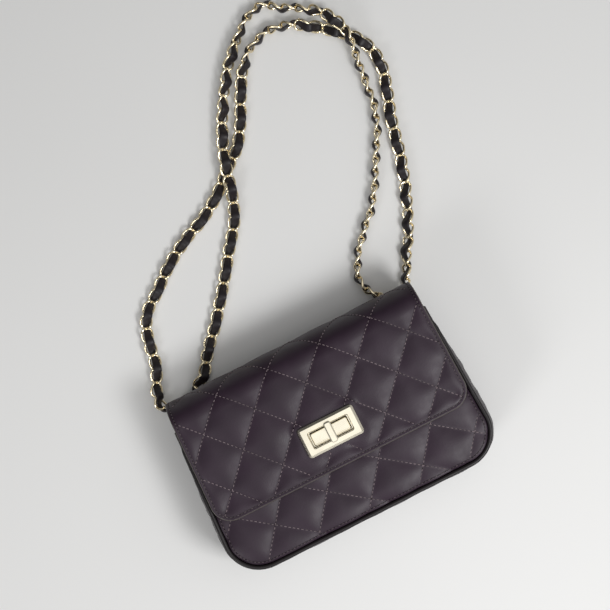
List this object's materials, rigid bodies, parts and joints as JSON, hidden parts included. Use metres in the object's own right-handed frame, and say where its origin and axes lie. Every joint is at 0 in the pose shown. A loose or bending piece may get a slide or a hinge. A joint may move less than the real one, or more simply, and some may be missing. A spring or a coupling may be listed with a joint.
{
  "type": "crossbody bag",
  "caption": "Small quilted leather crossbody bag lying on its back, with a fold-over flap, a turn lock and a closed chain strap laced with leather.",
  "frame": {"origin": "under the middle of the bag without its strap, on the surface that it lies on", "axes": "+X across the bag to the right as its front is seen, +Y up the bag from its base to its fold, +Z out of its front"},
  "size_m": [0.2537, 0.3567, 0.0606],
  "materials": {
    "quilted_leather": "satin quilted leather, dark aubergine",
    "plain_leather": "satin leather, dark aubergine",
    "edge_leather": "satin, near black",
    "flap_suede": "matt suede",
    "lining_cloth": "matt woven cloth",
    "fibre_board": "matt pressed fibre board",
    "pale_gold": "polished pale gold plate",
    "chain_gold": "polished pale gold chain laced with leather",
    "plain_steel": "plain stamped steel"
  },
  "bodies": {
    "root": {"back_panel": "quilted_leather", "front_panel": "quilted_leather", "gusset": "plain_leather", "piping_front": "edge_leather", "piping_back": "edge_leather", "lining": "lining_cloth", "slip_pocket": "lining_cloth", "back_stiffener": "fibre_board", "front_stiffener": "fibre_board", "base_board": "fibre_board", "lock_base": "pale_gold", "lock_base_washer": "plain_steel", "left_ring_tab": "plain_leather", "right_ring_tab": "plain_leather", "strap_strand_over": "chain_gold", "strap_strand_under": "chain_gold"},
    "flap_bridge": {"flap_bridge_leather": "quilted_leather", "flap_bridge_lining": "flap_suede"},
    "flap_front": {"flap_front_leather": "quilted_leather", "flap_front_lining": "flap_suede", "lock_frame": "pale_gold", "lock_frame_backing": "plain_steel"},
    "turn_bar": {"turn_bar": "pale_gold"},
    "left_ring": {"left_d_ring": "pale_gold"},
    "right_ring": {"right_d_ring": "pale_gold"}
  },
  "joints": [
    {"name": "flap_bridge_hinge", "type": "hinge", "parent": "root", "child": "flap_bridge", "pos_m": [0, 0.0543, 0.01115], "axis": [-1, 0, 0], "range_deg": [0, 42.5]},
    {"name": "flap_front_hinge", "type": "hinge", "parent": "flap_bridge", "child": "flap_front", "pos_m": [0, 0.047, 0.0545], "axis": [-1, 0, 0], "range_deg": [0, 140]},
    {"name": "turn_bar_swivel", "type": "hinge", "parent": "root", "child": "turn_bar", "pos_m": [0, 0.0005, 0.0579], "axis": [0, 0, 1], "range_deg": [0, 90]},
    {"name": "left_ring_swing", "type": "hinge", "parent": "root", "child": "left_ring", "pos_m": [-0.084, 0.05451, 0.0036], "axis": [1, 0, 0], "range_deg": [0, 25]},
    {"name": "right_ring_swing", "type": "hinge", "parent": "root", "child": "right_ring", "pos_m": [0.084, 0.05451, 0.0036], "axis": [1, 0, 0], "range_deg": [0, 25]}
  ],
  "couplings": [
    {"joint": "flap_bridge_hinge", "follows": "flap_front_hinge", "ratio": 0.3}
  ]
}
